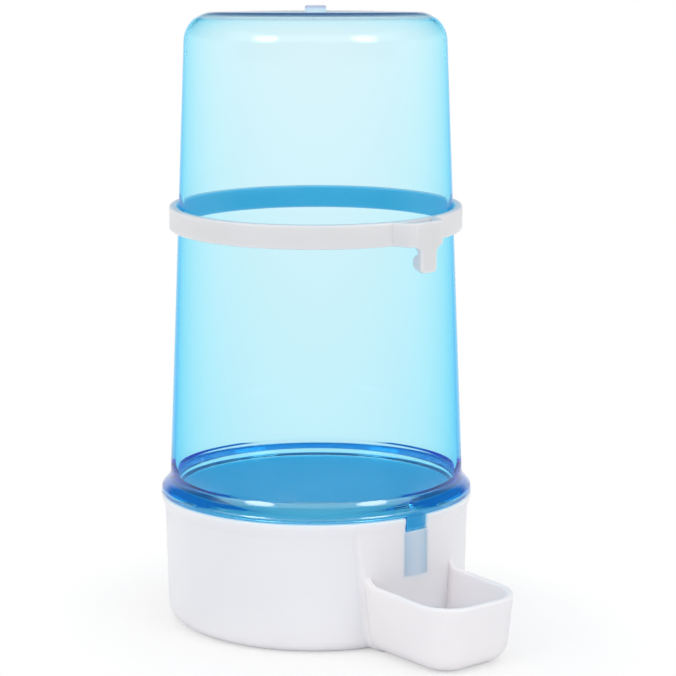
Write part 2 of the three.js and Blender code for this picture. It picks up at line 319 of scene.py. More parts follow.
def tank_profile(_):
    line = [dished(r, CREST - CROWN_WALL) for r in np.linspace(0, crest_radius, 14)]
    line += arc(crest_radius, side_end, SHOULDER - CROWN_WALL, 90, 0, 12)[1:]
    line += rounded([
        (*line[-1], 0),
        (tank_outside(SLOPE_TOP) - TANK_WALL, SLOPE_TOP, INNER_FILLET),
        (neck_outside(FLANGE_BOTTOM) - TANK_WALL, FLANGE_BOTTOM, INNER_FILLET),
        (neck_outside(NECK_FOOT) - TANK_WALL, NECK_FOOT, MOUTH_ROUNDING),
        (neck_outside(NECK_FOOT), NECK_FOOT, MOUTH_ROUNDING),
        (neck_outside(FLANGE_BOTTOM), FLANGE_BOTTOM, NECK_CORNER),
        (FLANGE_RADIUS, FLANGE_BOTTOM, FLANGE_FOOT_ROUNDING),
        (FLANGE_RADIUS, FLANGE_TOP, FLANGE_TOP_ROUNDING),
        (tank_outside(SLOPE_TOP), SLOPE_TOP, SLOPE_FILLET),
        (tank_outside(side_end), side_end, 0),
    ])[1:]
    line += arc(crest_radius, side_end, SHOULDER, 0, 90, 18)[1:]
    line += [dished(r, CREST) for r in np.linspace(crest_radius, CROWN_END, 14)[1:]]
    boss_foot = dished(BOSS_RADIUS, CREST)[1]
    line += arc(BOSS_RADIUS + BOSS_FILLET, boss_foot + BOSS_FILLET, BOSS_FILLET, 260, 180, 4)
    line += arc(BOSS_RADIUS - BOSS_ROUNDING, BOSS_TOP - BOSS_ROUNDING, BOSS_ROUNDING, 0, 90, 4)
    return evened(line + BOSS_DIMPLE, LONGEST_WALL)


tank = turned("clear_tank", tank_profile, EVEN_TURN)
print("tank profile points:", len(tank_profile(0)))

# %% [markdown]
# One upright key grows out of the neck and its head fills a notch of the cup's rim, so the tank
# drops in one way only. It is drawn from the side, given its width and joined to the tank. An
# extruded Curve would do as well, but it would still have to be made a mesh for the join.

# %% Key of the tank
NOTCH_FOOT = RIM - 2.8
KEY_FACE = neck_outside(NOTCH_FOOT) + 1.3
KEY_FOOT = FLANGE_BOTTOM - 11.6
KEY_HEAD = RIM_RADIUS - 0.4
KEY_TOP = FLANGE_TOP - 0.45
KEY_WIDTH = 5.0
KEY_CHAMFER = 0.8
KEY_ROUNDING = 0.2
KEY_GAP = 0.3
SEEN_FROM_SIDE = Matrix(((0, 0, 1, 0), (-1, 0, 0, 0), (0, 1, 0, 0), (0, 0, 0, 1)))


def upright(name, side, width, rounding=0.0):
    """A bar drawn from the side: (distance towards the spout, height) points, given a width."""
    bar = raised(name, side, -width / 2, width / 2, rounding)
    bar.data.transform(SEEN_FROM_SIDE)
    work = bmesh.new()
    work.from_mesh(bar.data)
    bmesh.ops.recalc_face_normals(work, faces=work.faces)
    work.to_mesh(bar.data)
    work.free()
    return bar


inside_wall = neck_outside(NECK_FOOT) - TANK_WALL / 2
key = upright("key", [
    (inside_wall, KEY_FOOT),
    (KEY_FACE - KEY_CHAMFER, KEY_FOOT),
    (KEY_FACE, KEY_FOOT + KEY_CHAMFER),
    (KEY_FACE, NOTCH_FOOT + KEY_GAP),
    (KEY_HEAD, NOTCH_FOOT + KEY_GAP),
    (KEY_HEAD, KEY_TOP),
    (inside_wall, KEY_TOP),
], KEY_WIDTH, KEY_ROUNDING)
tank = smooth(combined(tank, key, "UNION"))

# %% [markdown]
# ## The cup and its spout
# The base is a single moulding of milky polypropylene: a drafted cup that flares into a lip, the rim
# that carries the tank, and a drinking spout. Over the spout the wall stands a little proud, as a panel
# that the spout grows out of. A separate panel joined on would leave a hard seam, so the cup's
# profile itself swells towards the panel on its way round, over the last millimetre of each side.

# %% Sizes of the cup
PANEL = 31.8
PANEL_MARGIN = 0.9
PANEL_STEP = 1.2
PANEL_LIFT = 0.03
SPOUT_RIM = 14.15
SPOUT_HALF = 11.4
SPOUT_EDGE = 3.8
SPOUT_LEAN = slope(6.3)
CUP_EDGE = 3.3
FLOOR = 1.5


def edge_inset(z, radius):
    """How far a round bottom edge draws the wall in at this height."""
    return radius - math.sqrt(radius**2 - (radius - z) ** 2) if z < radius else 0.0


def soft_step(t):
    """0 to 1 with a gentle start and end."""
    t = min(max(t, 0), 1)
    return t * t * (3 - 2 * t)


def panel_share(x, z):
    """1 on the panel over the spout, 0 on the round cup, with a soft step between them."""
    half = SPOUT_HALF + (z - SPOUT_RIM) * SPOUT_LEAN - edge_inset(z, SPOUT_EDGE)
    return soft_step((half + PANEL_MARGIN - abs(x)) / PANEL_STEP)


print("panel", round(PANEL - cup_outside(SPOUT_RIM), 2), "mm proud of the cup at the spout's rim")

# %% Cup
LIP_HEIGHT = 0.8
LIP_HOLLOW = 1.5
LIP_ROUNDING = 0.9
RIM_ROUNDING = 0.3
WELL_ROUNDING = 0.25
WELL_EDGE = 1.9
wall_line = arc(cup_outside(0) - CUP_EDGE, CUP_EDGE, CUP_EDGE, -90, 0, 10)
wall_line += rounded([
    (cup_outside(CUP_EDGE), CUP_EDGE, 0),
    (cup_outside(LIP_FOOT), LIP_FOOT, LIP_HOLLOW),
    (RIM_RADIUS, RIM - LIP_HEIGHT, LIP_ROUNDING),
    (RIM_RADIUS, RIM, 0),
])[1:-1]
wall_line = evened(wall_line, 1.8)
well_line = evened(rounded([
    (RIM_RADIUS, RIM - LIP_HEIGHT / 2, 0),
    (RIM_RADIUS, RIM, RIM_ROUNDING),
    (cup_inside(RIM), RIM, WELL_ROUNDING),
    (cup_inside(FLOOR), FLOOR, WELL_EDGE),
    (0, FLOOR, 0),
]), 2.5)


def cup_profile(angle):
    outside = []
    for r, z in wall_line:
        share = panel_share(r * math.sin(angle), z) if math.cos(angle) > 0 else 0.0
        outside.append((r + (max(PANEL, r) - r) * share, max(z, PANEL_LIFT * share)))
    return [(0, 0), (9, 0), (18, 0), *outside, *well_line]


# Steps of the turn in degrees: 1.5 round the back, 0.36 at the sides of the panel, 1.2 across it.
panel_side = np.arange(8, 27, 0.36)
cup_turn = np.radians(np.concatenate([
    np.arange(-180, -27, 1.5),
    -panel_side[::-1],
    np.arange(-7.2, 7.3, 1.2),
    panel_side,
    np.arange(28, 180, 1.5),
]))
base = turned("milky_base", cup_profile, cup_turn)
print("cup:", len(cup_turn), "steps round, finer at both sides of the panel")

# %% [markdown]
# The spout is lofted: one outline, straight cheeks and a tip with round corners, is repeated at
# many heights and the rings are skinned. A subdivided box would be quicker to draw, but its walls
# would lose their even draft. First comes the outline. Where a cheek leaves the cup there is a small
# hollow, which fades out towards the bottom edge.

# %% Outline of the spout
SPOUT_REACH = 52.45
SPOUT_CORNER = 7.9
ROOT_HOLLOW = 1.4
LEAST_HOLLOW = 0.02
HOLLOW_FROM, HOLLOW_OVER = 3, 5
BURIED = 29.9
TROUGH_BACK = 31.1
CHEEK_STEPS, HOLLOW_STEPS, CORNER_STEPS, TIP_STEPS, ROOT_STEPS = 18, 8, 14, 6, 8


def root_hollow(z):
    """Radius of the hollow between cheek and cup: none at the bottom edge, full near the rim."""
    return LEAST_HOLLOW + ROOT_HOLLOW * soft_step((z - HOLLOW_FROM) / HOLLOW_OVER)


def cheek_root(half, z, outer):
    """(x, distance towards the spout) points where a cheek begins, and where it runs straight."""
    if not outer:
        start = math.sqrt(TROUGH_BACK**2 - half**2)
        return [(half, start)] * (HOLLOW_STEPS + 2), start
    hollow, wall = root_hollow(z), cup_outside(z)
    x = half + hollow
    y = math.sqrt((wall + hollow) ** 2 - x**2)
    bend = arc(x, y, hollow, 180 + math.degrees(math.atan2(y, x)), 180, HOLLOW_STEPS)
    return [(bend[0][0] * BURIED / wall, bend[0][1] * BURIED / wall), *bend], y


def spout_outline(inset, z, outer):
    """One outline of the spout, drawn in from the outside at rim height by an inset."""
    half, reach, corner = SPOUT_HALF - inset, SPOUT_REACH - inset, SPOUT_CORNER - max(inset, 0)
    cheek, start = cheek_root(half, z, outer)
    run = reach - corner - start
    cheek = cheek + [(half, start + run * (k / CHEEK_STEPS) ** 1.5) for k in range(1, CHEEK_STEPS)]
    left = [(-x, -y) for x, y in cheek]
    left += arc(corner - half, corner - reach, corner, 180, 270, CORNER_STEPS)
    left += straight(left[-1], (half - corner, -reach), TIP_STEPS)[:-1]
    right = arc(half - corner, corner - reach, corner, 270, 360, CORNER_STEPS)
    right += [(x, -y) for x, y in reversed(cheek)]
    root, end = math.hypot(*cheek[0]), math.atan2(*cheek[0])
    round_back = np.linspace(end, -end, ROOT_STEPS + 1)[1:-1]
    return left + right + [(root * math.sin(a), -root * math.cos(a)) for a in round_back]


print("points of an outline:", len(spout_outline(0, SPOUT_RIM, True)))

# %% [markdown]
# The loft starts under the floor, goes up the outside, over the rounded rim and down the inside, so
# the walls have their draft and true thickness. The rim falls gently towards the tip and sweeps up
# where it meets the panel, so the height of a ring depends on the stretch of rim above each point.

# %% Spout
SPOUT_WALL = 1.4
SPOUT_ROUNDING = 0.45
SPOUT_SWEEP = 1.8
SPOUT_FALL = slope(2.2)
TROUGH_EDGE = SPOUT_EDGE - SPOUT_WALL
TROUGH_FOOT = FLOOR + TROUGH_EDGE


def spout_rim(x, y):
    """Height of the rim: a gentle fall to the tip and a sweep up to the panel."""
    out = max(math.hypot(x, y) - PANEL, 0)
    gap = SPOUT_SWEEP - min(out, SPOUT_SWEEP)
    return SPOUT_RIM - out * SPOUT_FALL + SPOUT_SWEEP - math.sqrt(SPOUT_SWEEP**2 - gap**2)


def spout_ring(inset, outer, foot, share=0.0, drop=SPOUT_ROUNDING):
    """A ring of the loft, its points at a share of the way from a foot to a drop below the rim."""
    ring = []
    for i, (x, y) in enumerate(spout_outline(inset, SPOUT_RIM, outer)):
        z = foot + (spout_rim(x, y) - drop - foot) * share
        x, y = spout_outline(inset - (z - SPOUT_RIM) * SPOUT_LEAN, z, outer)[i]
        ring.append((x, y, z))
    return ring


edge_turn = [(1 - math.sin(a), 1 - math.cos(a)) for a in np.radians(np.linspace(0, 90, 9))]
rim_turn = [(1 - math.sin(a), 1 - math.cos(a)) for a in np.radians(np.linspace(0, 90, 6))]
rings = [spout_ring(SPOUT_EDGE * s, True, SPOUT_EDGE * c) for s, c in edge_turn]
rings += [spout_ring(0, True, SPOUT_EDGE, t) for t in np.linspace(0, 1, 9)[1:]]
for s, c in rim_turn[1:]:
    rings.append(spout_ring(SPOUT_ROUNDING * c, True, 0, 1, SPOUT_ROUNDING * s))
for s, c in rim_turn:
    rings.append(spout_ring(SPOUT_WALL - SPOUT_ROUNDING * s, False, 0, 1, SPOUT_ROUNDING * c))
rings += [spout_ring(SPOUT_WALL, False, TROUGH_FOOT, t) for t in np.linspace(1, 0, 9)[1:]]
for s, c in edge_turn[1:]:
    rings.append(spout_ring(SPOUT_WALL + TROUGH_EDGE * c, False, FLOOR + TROUGH_EDGE * s))
count = len(rings[0])
walls = []
for j in range(len(rings) - 1):
    here, above = j * count, (j + 1) * count
    for i in range(count):
        k = (i + 1) % count
        walls.append((here + i, here + k, above + k, above + i))
last = (len(rings) - 1) * count
caps = [tuple(range(count)), tuple(range(last, last + count))]
spout = moulding("spout", [p for ring in rings for p in ring], walls + caps)
base = combined(base, spout, "UNION")
print("spout:", len(rings), "rings of", count, "points")

# %% [markdown]
# Two cuts finish the base. A low window lets water from the well into the spout, and a groove for
# the tank's key runs down the inside of the wall and opens through the rim as a notch. Only a thin
# skin of plastic is left in front of the groove, and the blue key shows through it.

# %% Passage and notch
PASSAGE_HALF = 6.5
PASSAGE_ROUNDING = 1.2
PASSAGE_TOP = FLOOR + 5.4
PASSAGE_FOOT = FLOOR + 0.02
PASSAGE_FROM, PASSAGE_TO = 25.0, 35.0
GROOVE = KEY_FACE + 0.8
NOTCH_WIDTH = 5.6
WELL_SIDE, PAST_RIM, OVER_RIM = 24, 40, 36
SEEN_FROM_FRONT = Matrix(((1, 0, 0, 0), (0, 0, -1, 0), (0, 1, 0, 0), (0, 0, 0, 1)))


def frontal(name, front, back_at, front_at, rounding=0.0):
    """A plate drawn from the front: (x, height) points, between two distances from the axis."""
    plate = raised(name, front, back_at, front_at, rounding)
    plate.data.transform(SEEN_FROM_FRONT)
    return plate


corner_x = PASSAGE_HALF - PASSAGE_ROUNDING
corner_z = PASSAGE_TOP - PASSAGE_ROUNDING
passage_front = [(-PASSAGE_HALF, PASSAGE_FOOT), (PASSAGE_HALF, PASSAGE_FOOT)]
passage_front += arc(corner_x, corner_z, PASSAGE_ROUNDING, 0, 90, 5)
passage_front += arc(-corner_x, corner_z, PASSAGE_ROUNDING, 90, 180, 5)
passage = frontal("passage", passage_front, PASSAGE_FROM, PASSAGE_TO)
base = combined(base, passage, "DIFFERENCE")
notch = upright("notch", [
    (WELL_SIDE, KEY_FOOT - KEY_GAP),
    (GROOVE, KEY_FOOT - KEY_GAP),
    (GROOVE, NOTCH_FOOT),
    (PAST_RIM, NOTCH_FOOT),
    (PAST_RIM, OVER_RIM),
    (WELL_SIDE, OVER_RIM),
], NOTCH_WIDTH)
base = smooth(combined(base, notch, "DIFFERENCE"))
print("skin in front of the key:", round(PANEL - GROOVE, 2), "mm")

# %% [markdown]
# ## The ring and its hook
# The ring is a plain band pushed down the taper until it wedges, a little askew. It is turned from
# its cross-section like the tank, flat and round its own middle first. At the end it is set down on
# the tank, so nothing before that has to think about its lean.

# %% Band
RING_MIDDLE = 82.9
RING_HALF = 2.35
RING_WALL = 1.5
RING_GAP = 0.3
BAND_ROUNDING = 0.4
BORE_ROUNDING = 0.3


def band_inside(z):
    return tank_outside(RING_MIDDLE + z) + RING_GAP


band_outside = band_inside(0) + RING_WALL


def band_profile(_):
    outer, up = band_outside - BAND_ROUNDING, RING_HALF - BAND_ROUNDING
    line = arc(outer, -up, BAND_ROUNDING, -90, 0, 4) + arc(outer, up, BAND_ROUNDING, 0, 90, 4)
    for sign, start in ((1, 90), (-1, 180)):
        inner = band_inside(sign * RING_HALF) + BORE_ROUNDING
        up = sign * (RING_HALF - BORE_ROUNDING)
        line += arc(inner, up, BORE_ROUNDING, start, start + 90, 3)
    return line


ring = turned("milky_ring", band_profile, EVEN_TURN, loop=True)
print("band", round(2 * band_outside, 1), "mm across and", 2 * RING_HALF, "mm high")

# %% [markdown]
# In front the ring carries a bowed strap: a rounded cross-section swept along a double curve. A
# bevelled Curve object would do the same, but its ends could not be buried in the band so exactly.

# %% Strap
BOW = 1.4
BOW_GAP = 2.2
BOW_SPAN = 6.8
BOW_FLAT = 2.8
BOW_ROOT = RING_WALL / 2 - 0.1
BOW_ROUNDING = 0.35
strap_back = band_outside + BOW_GAP
strap_front = strap_back + BOW
strap_middle = strap_back + BOW / 2


def swept(name, path, section):
    """A section of (across, up) points carried along a level path, with flat ends."""
    points, faces = [], []
    path = [Vector(p) for p in path]
    for i, p in enumerate(path):
        along = (path[min(i + 1, len(path) - 1)] - path[max(i - 1, 0)]).normalized()
        points += [(p.x - along.y * a, p.y + along.x * a, up) for a, up in section]
    n = len(section)
    for i in range(len(path) - 1):
        here, there = i * n, (i + 1) * n
        for k in range(n):
            m = (k + 1) % n
            faces.append((here + k, here + m, there + m, there + k))
    last = (len(path) - 1) * n
    faces += [tuple(range(n)), tuple(range(last, last + n))]
    return moulding(name, points, faces)


def rounded_bar(width, height, rounding):
    """Cross-section of a bar with round edges."""
    line = []
    for sx, sy, start in ((1, 1, 0), (-1, 1, 90), (-1, -1, 180), (1, -1, 270)):
        x, y = sx * (width / 2 - rounding), sy * (height / 2 - rounding)
        line += arc(x, y, rounding, start, start + 90, 4)
    return line


def bow_side(sign):
    """One half of the bow: a smooth double curve from the band out to the flat front."""
    root_x = BOW_SPAN - BOW / 2
    root_y = math.sqrt(band_outside**2 - BOW_SPAN**2) - BOW_ROOT
    middle_x = (root_x + BOW_FLAT) / 2
    ends = [(root_x, root_y), (middle_x, root_y), (middle_x, strap_middle), (BOW_FLAT, strap_middle)]
    curve = []
    for t in np.linspace(0, 1, 25):
        weights = ((1 - t) ** 3, 3 * t * (1 - t) ** 2, 3 * t * t * (1 - t), t**3)
        x = sum(w * end[0] for w, end in zip(weights, ends))
        y = sum(w * end[1] for w, end in zip(weights, ends))
        curve.append((sign * x, -y))
    return curve


flat_front = [(x, -strap_middle) for x in np.linspace(-BOW_FLAT, BOW_FLAT, 8)[1:-1]]
bow_path = bow_side(-1) + flat_front + bow_side(1)[::-1]
strap = swept("strap", bow_path, rounded_bar(BOW, 2 * RING_HALF, BOW_ROUNDING))
ring = combined(ring, strap, "UNION")
print("strap:", len(bow_path), "sections, front face", round(strap_front, 2), "mm from the axis")

# %% [markdown]
# From the strap a tongue hangs down behind the cage wire, with fillets where it leaves the strap. On
# its back a half-round bead keeps the wire in. Both are drawn as outlines, one from the front and one
# from the side, and joined on.

# %% Tongue and bead
TONGUE_HALF = 2.0
TONGUE_FILLET = 1.6
TONGUE_ROUNDING = 0.3
TONGUE_CORNER = 0.8
TONGUE_END = -RING_HALF - 5.2
TONGUE_TOP = RING_HALF - 0.6
TONGUE_FACE = strap_front - 0.01
BEAD = 1.6
BEAD_WIDTH = 3.6
BEAD_ROUNDING = 0.2
BEAD_RISE = 1.9
BEAD_ROOT = strap_back + 0.5
flare = TONGUE_HALF + TONGUE_FILLET
corner_x = TONGUE_HALF - TONGUE_CORNER
corner_z = TONGUE_END + TONGUE_CORNER
tongue_front = [(-flare, TONGUE_TOP)]
tongue_front += arc(-flare, -RING_HALF - TONGUE_FILLET, TONGUE_FILLET, 90, 0, 8)
tongue_front += arc(-corner_x, corner_z, TONGUE_CORNER, 180, 270, 5)
tongue_front += arc(corner_x, corner_z, TONGUE_CORNER, 270, 360, 5)
tongue_front += arc(flare, -RING_HALF - TONGUE_FILLET, TONGUE_FILLET, 180, 90, 8)
tongue_front += [(flare, TONGUE_TOP)]
tongue = frontal("tongue", tongue_front, strap_back, TONGUE_FACE, TONGUE_ROUNDING)

bead_side = [(BEAD_ROOT, -BEAD), *arc(strap_back, 0, BEAD, 270, 90, 16), (BEAD_ROOT, BEAD)]
bead = upright("bead", bead_side, BEAD_WIDTH, BEAD_ROUNDING)
bead.data.transform(Matrix.Translation((0, 0, (TONGUE_END + BEAD_RISE) * MM)))
tongue = combined(tongue, bead, "UNION")
ring = combined(ring, tongue, "UNION")
print("tongue ends", round(-RING_HALF - TONGUE_END, 1), "mm below the band")

# %% Ring set down on the tank
HOOK_HEADING = math.radians(2.9)
LEAN = math.radians(2.2)
LEAN_HEADING = math.radians(-39)
lift = Matrix.Translation((0, 0, RING_MIDDLE * MM))
lean = Matrix.Rotation(LEAN_HEADING, 4, "Z") @ Matrix.Rotation(LEAN, 4, "X")
turn = Matrix.Rotation(HOOK_HEADING - LEAN_HEADING, 4, "Z")
ring.data.transform(lift @ lean @ turn)
ring = smooth(ring)

# %% [markdown]
# ## Handing the mouldings to the frame
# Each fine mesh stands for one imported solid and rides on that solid's body, so the tank lifts and
# the ring turns as the simulation says.

# %% Pieces on their bodies
for piece, node, body, finish in (
    (base, "drinking_base", "base", "base_plastic"),
    (tank, "reservoir_tank", "tank", "tank_plastic"),
    (ring, "hanging_ring", "ring", "ring_plastic"),
):
    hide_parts(node)
    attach(piece, body)
    print(piece.name, "stands for", node, "on", body)

# %% [markdown]
# ## Finishes
# Two plastics are at work: clear blue polystyrene with a polished skin, and milky polypropylene with
# a satin one. Both came out of a steel mould, so both get the same kinds of unevenness: a broad
# waviness from uneven cooling, a fine grain from the mould's skin and upright drag marks from being
# pulled out of it. That unevenness is one shared node group. Each material tells it how fine the
# marks are, in waves to the metre, and decides how much of each kind it uses.

# %% Shared unevenness
MARKS = {"Grain": (3, 1), "Cloud": (2, 1), "Drag": (4, 0.04)}

mould_skin = bpy.data.node_groups.new("mould_skin", "ShaderNodeTree")
for label in MARKS:
    for side, ending in (("INPUT", " Scale"), ("OUTPUT", "")):
        mould_skin.interface.new_socket(label + ending, in_out=side, socket_type="NodeSocketFloat")
nodes, links = mould_skin.nodes, mould_skin.links
entry, out = nodes.new("NodeGroupInput"), nodes.new("NodeGroupOutput")
place = nodes.new("ShaderNodeTexCoord")
for label, (detail, upright_scale) in MARKS.items():
    stretch = nodes.new("ShaderNodeMapping")
    stretch.inputs["Scale"].default_value = (1, 1, upright_scale)
    marks = nodes.new("ShaderNodeTexNoise")
    marks.inputs["Detail"].default_value = detail
    links.new(place.outputs["Object"], stretch.inputs["Vector"])
    links.new(stretch.outputs["Vector"], marks.inputs["Vector"])
    links.new(entry.outputs[label + " Scale"], marks.inputs["Scale"])
    links.new(marks.outputs["Fac"], out.inputs[label])
print("shared group:", mould_skin.name, "with", list(MARKS))

# %% [markdown]
# A material is a net of nodes, and the same few patterns come back all the time: a value spread over
# a range, two colours mixed, a sum, a bump. Small helpers for them keep the materials readable.

# %% Material helpers


def new_material(name):
    material = bpy.data.materials.new(name)
    material.use_nodes = True
    tree = material.node_tree
    return material, tree.nodes, tree.links, tree.nodes["Principled BSDF"], tree.nodes["Material Output"]


def skin_node(nodes, **scales):
    """The shared unevenness, with the fineness of those marks that a material uses."""
    node = nodes.new("ShaderNodeGroup")
    node.node_tree = mould_skin
    for label, scale in scales.items():
        node.inputs[label + " Scale"].default_value = scale
    return node


def ramp(nodes, links, value, start, end, low, high, kind="SMOOTHSTEP"):
    """low where the value is at its start, high at its end, and a soft change between."""
    spread = nodes.new("ShaderNodeMapRange")
    spread.interpolation_type = kind
    for label, number in (("From Min", start), ("From Max", end), ("To Min", low), ("To Max", high)):
        spread.inputs[label].default_value = number
    links.new(value, spread.inputs["Value"])
    return spread.outputs["Result"]


def between(nodes, links, value, low, high):
    """A value from 0.3 to 0.7, as noise mostly is, spread over low to high."""
    return ramp(nodes, links, value, 0.3, 0.7, low, high, "LINEAR")


def tinted(nodes, links, value, low, high):
    """Two colours mixed by a value from 0 to 1. The first is a socket or a plain colour."""
    mix = nodes.new("ShaderNodeMix")
    mix.data_type = "RGBA"
    if isinstance(low, tuple):
        mix.inputs["A"].default_value = (*low, 1)
    else:
        links.new(low, mix.inputs["A"])
    mix.inputs["B"].default_value = (*high, 1)
    links.new(value, mix.inputs["Factor"])
    return mix.outputs["Result"]


def math_node(nodes, links, operation, *values):
    """A Math node of two or three values, each one a socket or a plain number."""
    node = nodes.new("ShaderNodeMath")
    node.operation = operation
    for socket, value in zip(node.inputs, values):
        if isinstance(value, (int, float)):
            socket.default_value = value
        else:
            links.new(value, socket)
    return node.outputs["Value"]


def mixed(nodes, links, share, first, second):
    """Two shaders mixed by a share from 0 to 1."""
    mix = nodes.new("ShaderNodeMixShader")
    for socket, value in zip(mix.inputs, (share, first, second)):
        links.new(value, socket)
    return mix.outputs["Shader"]


def relief(nodes, links, height, distance, strength):
    bump = nodes.new("ShaderNodeBump")
    bump.inputs["Distance"].default_value = distance
    bump.inputs["Strength"].default_value = strength
    links.new(height, bump.inputs["Height"])
    return bump.outputs["Normal"]


print("materials so far:", len(bpy.data.materials))

# %% [markdown]
# ### Clear blue plastic
# The tank's colour sits in the plastic itself, so thin walls look pale and long ways through the
# plastic look deep. A tinted glass colour would stain every face alike; a Volume Absorption inside a
# colourless glass gets the depth right. The thin side wall hardly bends the light and only shines, so
# there it is a nearly straight glass under a clear coat, which keeps the slanted way at the edges long.
# The thick foot and the crown are full glass, because they trap light and turn dark blue.

# %% Two kinds of clear glass
FULL_IOR = 1.55
STRAIGHT_IOR = 1.02
RIPPLE = (0.0004, 0.08)
POLISH = (0.0, 0.03)
clear_blue, nodes, links, bent, out = new_material("clear_blue_plastic")
skin = skin_node(nodes, Cloud=70)
straight_on = nodes.new("ShaderNodeBsdfPrincipled")
ripple = relief(nodes, links, skin.outputs["Cloud"], *RIPPLE)
gloss = between(nodes, links, skin.outputs["Cloud"], *POLISH)
for glass, ior in ((bent, FULL_IOR), (straight_on, STRAIGHT_IOR)):
    glass.inputs["Base Color"].default_value = (1, 1, 1, 1)
    glass.inputs["Transmission Weight"].default_value = 1.0
    glass.inputs["IOR"].default_value = ior
    links.new(gloss, glass.inputs["Roughness"])
    links.new(ripple, glass.inputs["Normal"])
straight_on.inputs["Coat IOR"].default_value = 1.5
straight_on.inputs["Coat Roughness"].default_value = 0.07
tint = nodes.new("ShaderNodeVolumeAbsorption")
tint.inputs["Color"].default_value = (0.02, 0.82, 0.98, 1)
tint.inputs["Density"].default_value = 200
links.new(tint.outputs["Volume"], out.inputs["Volume"])
tank.data.materials.append(clear_blue)
print("glass of the foot bends by", FULL_IOR, "and that of the wall by", STRAIGHT_IOR)

# %% [markdown]
# Where each kind of glass lies is read from the height of a point and its distance from the axis,
# so no faces have to be marked by hand. The clear coat is kept to the outer skin, because on the inner
# face it draws broken lines along the edges of the tank. It is fullest in the hollow above the flange,
# where the lamps are mirrored. The face of the flange that rests on the rim of the cup gets a painted
# shade of dark blue, standing in for the shade between flange and rim, where little light gets in.

# %% Where the glass is thick and where it shines
THICK_FOOT = 30.2
THICK_CROWN = (122.1, 123.0)
CEILING = 120
CEILING_EDGE = (20.0, 22.0)
SKIN_DEPTH = 0.4
COATED_SHOULDER = 114
FULL_COAT = (30.2, 33)
WALL_COAT = 0.35
CONTACT_DEPTH = 0.1
CONTACT_RADIUS = 29.6
CONTACT_SHADE_BLUE = (0.08, 0.24, 0.66)


def height_and_radius(nodes, links):
    """Height of a point and its distance from the upright axis, in metres."""
    place = nodes.new("ShaderNodeTexCoord")
    split = nodes.new("ShaderNodeSeparateXYZ")
    links.new(place.outputs["Object"], split.inputs["Vector"])
    level = nodes.new("ShaderNodeCombineXYZ")
    for axis in "XY":
        links.new(split.outputs[axis], level.inputs[axis])
    length = nodes.new("ShaderNodeVectorMath")
    length.operation = "LENGTH"
    links.new(level.outputs["Vector"], length.inputs[0])
    return split.outputs["Z"], length.outputs["Value"]


height, radius = height_and_radius(nodes, links)
foot = math_node(nodes, links, "LESS_THAN", height, THICK_FOOT * MM)
crown = ramp(nodes, links, height, THICK_CROWN[0] * MM, THICK_CROWN[1] * MM, 0, 1)
inner = ramp(nodes, links, radius, CEILING_EDGE[0] * MM, CEILING_EDGE[1] * MM, 1, 0)
ceiling = math_node(nodes, links, "GREATER_THAN", height, CEILING * MM)
ceiling = math_node(nodes, links, "MULTIPLY", inner, ceiling)
crown = math_node(nodes, links, "MAXIMUM", crown, ceiling)
thick = math_node(nodes, links, "MAXIMUM", foot, crown)

skin_radius = (TANK_FOOT + RIM * TANK_TAPER - SKIN_DEPTH) * MM
untapered = math_node(nodes, links, "MULTIPLY", height, TANK_TAPER)
untapered = math_node(nodes, links, "ADD", radius, untapered)
outer = math_node(nodes, links, "GREATER_THAN", untapered, skin_radius)
shoulder = math_node(nodes, links, "GREATER_THAN", height, COATED_SHOULDER * MM)
outer = math_node(nodes, links, "MAXIMUM", outer, shoulder)
fullness = ramp(nodes, links, height, FULL_COAT[0] * MM, FULL_COAT[1] * MM, 1, WALL_COAT)
coat = math_node(nodes, links, "MULTIPLY", outer, fullness)
links.new(coat, straight_on.inputs["Coat Weight"])

# Painted shade: the face of the flange on the rim of the cup is tinted dark blue, for the shade between
# flange and rim.
contact_shade = math_node(nodes, links, "COMPARE", height, FLANGE_BOTTOM * MM, CONTACT_DEPTH * MM)
outside = math_node(nodes, links, "GREATER_THAN", radius, CONTACT_RADIUS * MM)
contact_shade = math_node(nodes, links, "MULTIPLY", contact_shade, outside)
links.new(tinted(nodes, links, contact_shade, (1, 1, 1), CONTACT_SHADE_BLUE), bent.inputs["Base Color"])
print("full glass below", THICK_FOOT, "mm and in the crown; coat on the outer skin only")

# %% [markdown]
# Glass stops the lamps from reaching what is inside, so shadow and diffuse rays see a plain
# Transparent shader. Rays that were already mirrored a few times in the thick foot would go on
# forever, and end as black specks. They pass straight out with a blue tone.

# %% Surface of the tank
TRAPPED_BLUE = (0.35, 0.65, 0.95)
SHADE_BLUE = (0.64, 0.92, 1.0)


def see_through(nodes, colour):
    node = nodes.new("ShaderNodeBsdfTransparent")
    node.inputs["Color"].default_value = (*colour, 1)
    return node.outputs["BSDF"]


surface = mixed(nodes, links, thick, straight_on.outputs["BSDF"], bent.outputs["BSDF"])
way = nodes.new("ShaderNodeLightPath")
trapped = math_node(nodes, links, "GREATER_THAN", way.outputs["Glossy Depth"], 2.5)
trapped = math_node(nodes, links, "MULTIPLY", thick, trapped)
surface = mixed(nodes, links, trapped, surface, see_through(nodes, TRAPPED_BLUE))
for ray in ("Is Shadow Ray", "Is Diffuse Ray"):
    surface = mixed(nodes, links, way.outputs[ray], surface, see_through(nodes, SHADE_BLUE))
links.new(surface, out.inputs["Surface"])
print("nodes of the clear plastic:", len(nodes))
